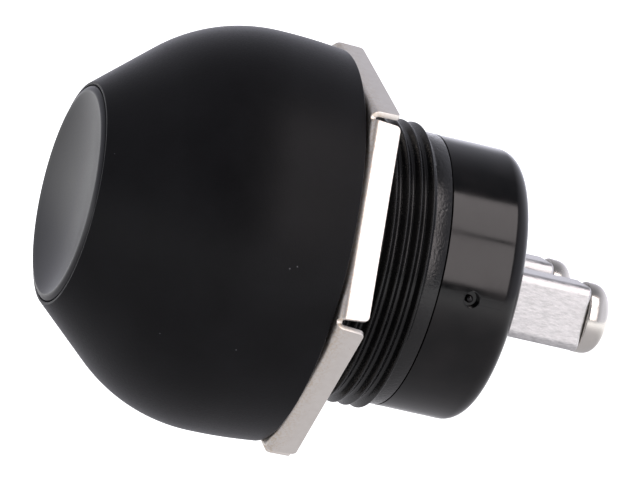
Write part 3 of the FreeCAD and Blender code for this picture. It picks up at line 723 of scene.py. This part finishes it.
def moved(piece, x):
    pick(piece)
    piece.location.x = x * mm
    bpy.ops.object.transform_apply(location=True)
    return piece


for side in (-1, 1):
    slot = postBar("slot", cap["slotGap"], cap["floor"] - 1, cap["back"] + 1)
    cut(rearCap, moved(slot, side * post["spacing"] / 2))
    markAt = cap["back"] - cap["markFromRear"]
    eyeMiddle = side * (cap["radius"] + 1 - cap["markDepth"])
    lipMiddle = side * (cap["radius"] - cap["lipUnder"])
    deselect()
    bpy.ops.mesh.primitive_cylinder_add(vertices=40, radius=cap["markRadius"] * mm, depth=2 * mm,
                                        location=(eyeMiddle * mm, markAt * mm, 0),
                                        rotation=(0, math.pi / 2, 0))
    cut(rearCap, named("eye"))
    deselect()
    bpy.ops.mesh.primitive_uv_sphere_add(segments=24, ring_count=12, radius=cap["pip"] * mm, location=(
        side * (cap["radius"] - cap["pip"]) * mm, (markAt - cap["pipAside"]) * mm, 0))
    cut(rearCap, named("pip"), "UNION")
    ends = sorted((side * (cap["radius"] - cap["ridgeRoot"]), side * (cap["radius"] + cap["ridgeProud"])))
    for z in (-cap["ridgeApart"] / 2, cap["ridgeApart"] / 2):
        ridge = boxPiece("ridge", (ends[0], markAt + cap["markRadius"], z - cap["ridgeWidth"] / 2),
                         (ends[1], cap["back"] - cap["edge"], z + cap["ridgeWidth"] / 2))
        cut(rearCap, ridge, "UNION")
    deselect()
    bpy.ops.mesh.primitive_torus_add(major_radius=(cap["markRadius"] + cap["lipOut"]) * mm,
                                     minor_radius=cap["markLip"] * mm, major_segments=48, minor_segments=10,
                                     location=(lipMiddle * mm, markAt * mm, 0),
                                     rotation=(0, math.pi / 2, 0))
    cut(rearCap, named("lip"), "UNION")
place(rearCap, "housing", "rear_cap", "capPlastic", 28)
print("cap ready")

# terminal posts and screws
screw = {
    "head": 2.7,
    "under": 21.17,
    "height": 2.2,
    "crownRound": 4.6,
    "shoulderRound": 1.15,
    "edge": 0.14,
    "shank": 1.45,
    "length": 5.0,
    "tip": 0.4,             # how much the shank's end is narrowed
    "tipLead": 0.2,
    "firstCrest": 0.25,
    "threadDepth": 0.22,
    "threadPitch": 0.5,
    "crestFrom": 0.2,       # where a crest starts and ends, from the groove before it
    "crestTo": 0.27,
    "neck": 0.2,            # plain length under the head
    "driveWidth": 0.85,
    "driveSpan": 3.1,
    "driveDepth": 1.2,
}
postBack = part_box("terminal_post_left")[1].y / mm
headTop = screw["under"] + screw["height"]
inset = screw["head"] - screw["shoulderRound"]
crownMid = headTop - screw["crownRound"]
shoulderTurn = math.degrees(math.acos(inset / (screw["crownRound"] - screw["shoulderRound"])))
shoulderAt = crownMid + inset * math.tan(math.radians(shoulderTurn))
shankFront = screw["under"] - screw["length"]
for side, word in ((-1, "left"), (1, "right")):
    x = side * post["spacing"] / 2
    bar = postBar("post_" + word, 0, post["front"], postBack)
    selectWhere(bar, "edges", lambda c: all(abs(p.y - postBack) < 0.001 for p in c))
    bpy.ops.mesh.bevel(offset=post["endEdge"] * mm, segments=6, clamp_overlap=True)
    deselect()
    cut(bar, rod("tapHole", post["hole"], postBack - post["holeDepth"], postBack + 1))
    cut(bar, rod("rivetHole", post["rivetHole"], post["front"] - 1, post["front"] + post["rivetDepth"]))
    moved(bar, x)
    place(bar, "housing", "terminal_post_" + word, "postPlate", 25)

    crests = round(screw["length"] / screw["threadPitch"]) - 1
    core = screw["shank"] - screw["threadDepth"]
    outline = [(0, shankFront), (screw["shank"] - screw["tip"], shankFront),
               (core, shankFront + screw["tipLead"])]
    for i in range(crests):
        low = shankFront + screw["firstCrest"] + i * screw["threadPitch"]
        outline += [(core, low), (screw["shank"], low + screw["crestFrom"]),
                    (screw["shank"], low + screw["crestTo"])]
    outline += [(core, screw["under"] - screw["neck"]), (core, screw["under"])]
    outline += arc((screw["head"] - screw["edge"], screw["under"] + screw["edge"]), screw["edge"], -90, 0, 5)
    outline += arc((inset, shoulderAt), screw["shoulderRound"], 0, shoulderTurn, 4)
    outline += arc((0, crownMid), screw["crownRound"], shoulderTurn, 90, 12)[1:-1]
    outline += [(0, headTop)]
    piece = turned("screw_" + word, outline, sides=96)
    for wide, tall in ((screw["driveWidth"], screw["driveSpan"]), (screw["driveSpan"], screw["driveWidth"])):
        cut(piece, boxPiece("drive", (-wide / 2, headTop - screw["driveDepth"], -tall / 2),
                            (wide / 2, headTop + 1, tall / 2)))
    moved(piece, x)
    place(piece, "screw_" + word, "terminal_screw_" + word, "screwNickel", 35)
print("terminals ready")

# springs, wound with closed ends
springs = {
    "returnCoil": {
        "node": "return_spring", "slot": "return_spring_steel", "from": "housing", "to": "plunger",
        "radius": 5.2, "wire": 0.35, "turns": 6.5, "low": -14.88, "high": -2.72, "fixed": "high"},
    "contactCoil": {
        "node": "contact_spring", "slot": "contact_spring_steel", "from": "plunger", "to": "bridge",
        "radius": 2.275, "wire": 0.225, "turns": 3, "low": 3.42, "high": 6.18, "fixed": "low"},
}
for name, spring in springs.items():
    low, high = spring["low"] + spring["wire"], spring["high"] - spring["wire"]
    ring = arc((spring["radius"], low), spring["wire"], 0, 360, 14)[:-1]
    coil = swept(name, ring + ring[:1], (high - low) / spring["turns"], spring["turns"], 48)
    edit(coil, pickAll=True)
    bpy.ops.mesh.remove_doubles(threshold=0.001 * mm)
    bpy.ops.mesh.select_all(action="DESELECT")
    bpy.ops.mesh.select_non_manifold()
    bpy.ops.mesh.edge_face_add()
    tidyMesh(coil)
    smooth(coil, 40)
    dress(coil, "springSteel")
    start, end = spring["low"], spring["high"]
    if spring["fixed"] == "high":
        start, end = end, start
    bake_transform(coil)
    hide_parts(spring["node"])
print("springs ready")

# inner parts that keep their own shape
kept = {
    "plunger_stem": "stemNylon",
    "stem_seal": "rubber",
    "panel_gasket": "rubber",
    "spring_seat": "springSteel",
    "post_retainer": "retainerBoard",
    "contact_bridge": "bridgeCopper",
    "bridge_clip": "springSteel",
    "fixed_contact_left": "contactSilver",
    "fixed_contact_right": "contactSilver",
    "moving_contact_left": "contactSilver",
    "moving_contact_right": "contactSilver",
}
for node, material in kept.items():
    dress(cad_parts[node], material)

# floor, light and camera
studio = {
    "floorDrop": 0.12,
    "floorSize": 8.0,
    "floorTone": 0.62,
    "nearGlow": 0.17,
    "farGlow": 1.25,
    "horizon": 1.2,
    "behind": 0.6,
    "above": 0.24,
    "facing": 0.12,
    "front": 0.4,
    "back": 0.75,
    "softboxes": ((5.5, 43.6), (48.2, 81.0)),
    "softboxWidth": 17.0,
    "softboxAway": 0.7,
    "softboxTone": 4.2,
    "softboxTurn": 15.8,
}
view = {"azimuth": 74.1, "elevation": 5.87, "roll": 14.45, "distance": 0.6668, "lens": 498.6,
        "aim": Vector((0.37, 1.58, 0.77)) * mm}
azimuth, elevation = math.radians(view["azimuth"]), math.radians(view["elevation"])
toCamera = Vector((math.sin(azimuth) * math.cos(elevation), -math.cos(azimuth) * math.cos(elevation),
                   math.sin(elevation)))
lens = bpy.data.cameras.new("camera")
lens.lens = view["lens"]
lens.sensor_width = 36
lens.clip_start, lens.clip_end = 0.05, 20
camera = bpy.data.objects.new("camera", lens)
scene.collection.objects.link(camera)
turn = toCamera.to_track_quat("Z", "Y") @ Quaternion((0, 0, 1), math.radians(view["roll"]))
stand = view["aim"] + toCamera * view["distance"]
camera.matrix_world = Matrix.Translation(stand) @ turn.to_matrix().to_4x4()
scene.camera = camera
print("camera ready")

deselect()
bpy.ops.mesh.primitive_plane_add(size=studio["floorSize"], location=(0, 0, -studio["floorDrop"]))
floor = bpy.context.object
floor.name = "floor"
# painted light: the floor glows, dim within 0.2 m of the point under the part and at full strength from 0.75
# m out
paper = newPaint("paper")
spot = paper.node("TexCoord", output="Object")
away = paper.node("VectorMath", {0: spot}, output="Value", operation="LENGTH")
glow = paper.ranged(away, 0.2, 0.75, studio["nearGlow"] / studio["farGlow"], 1)
finishPaint(paper, Base_Color=[studio["floorTone"]] * 3, Roughness=0.9, Emission_Color=glow,
            Emission_Strength=studio["farGlow"])
floor.data.materials.append(paper.material)

world = bpy.data.worlds.new("studio")
world.use_nodes = True
scene.world = world
sky = Paint(world.node_tree)
ray = sky.node("TexCoord", output="Generated")
facing = sky.node("VectorMath", {0: ray, 1: toCamera}, output="Value", operation="DOT_PRODUCT")
tone = sky.ranged(facing, -1.0, -0.85, studio["horizon"], 0)
tone = tone + sky.ranged(facing, -0.85, -0.3, studio["behind"] - studio["above"], 0)
tone = tone + sky.ranged(facing, -0.1, 0.75, studio["above"], studio["facing"])
ahead = sky.node("SeparateXYZ", {0: ray}, output="Y")
tone = tone + sky.ranged(ahead, -0.3, -0.9, 0, studio["front"])
tone = tone + sky.ranged(ahead, 0.3, 0.8, 0, studio["back"])
background = world.node_tree.nodes["Background"]
background.inputs["Color"].default_value = (0.94, 0.94, 1.05, 1)
sky.put(background.inputs["Strength"], tone)

for i, (low, high) in enumerate(studio["softboxes"]):
    tilt, turnAside = math.radians((low + high) / 2), math.radians(studio["softboxTurn"])
    inward = math.cos(turnAside)
    out = Vector((math.cos(tilt) * inward, math.sin(turnAside), math.sin(tilt) * inward))
    lamp = bpy.data.lights.new("softbox%d" % (i + 1), "AREA")
    lamp.shape = "RECTANGLE"
    lamp.size = 2 * studio["softboxAway"] * math.tan(math.radians(studio["softboxWidth"] / 2))
    lamp.size_y = 2 * studio["softboxAway"] * math.tan(math.radians((high - low) / 2))
    lamp.energy = studio["softboxTone"] * math.pi * lamp.size * lamp.size_y
    lamp.color = (1.0, 0.92, 0.92)
    softbox = bpy.data.objects.new(lamp.name, lamp)
    scene.collection.objects.link(softbox)
    up = Vector((-math.sin(tilt), 0, math.cos(tilt)))
    aside = up.cross(out).normalized()
    up = out.cross(aside)
    facingIn = Matrix((aside, up, out)).transposed().to_4x4()
    softbox.matrix_world = Matrix.Translation(out * studio["softboxAway"]) @ facingIn
print("studio ready")
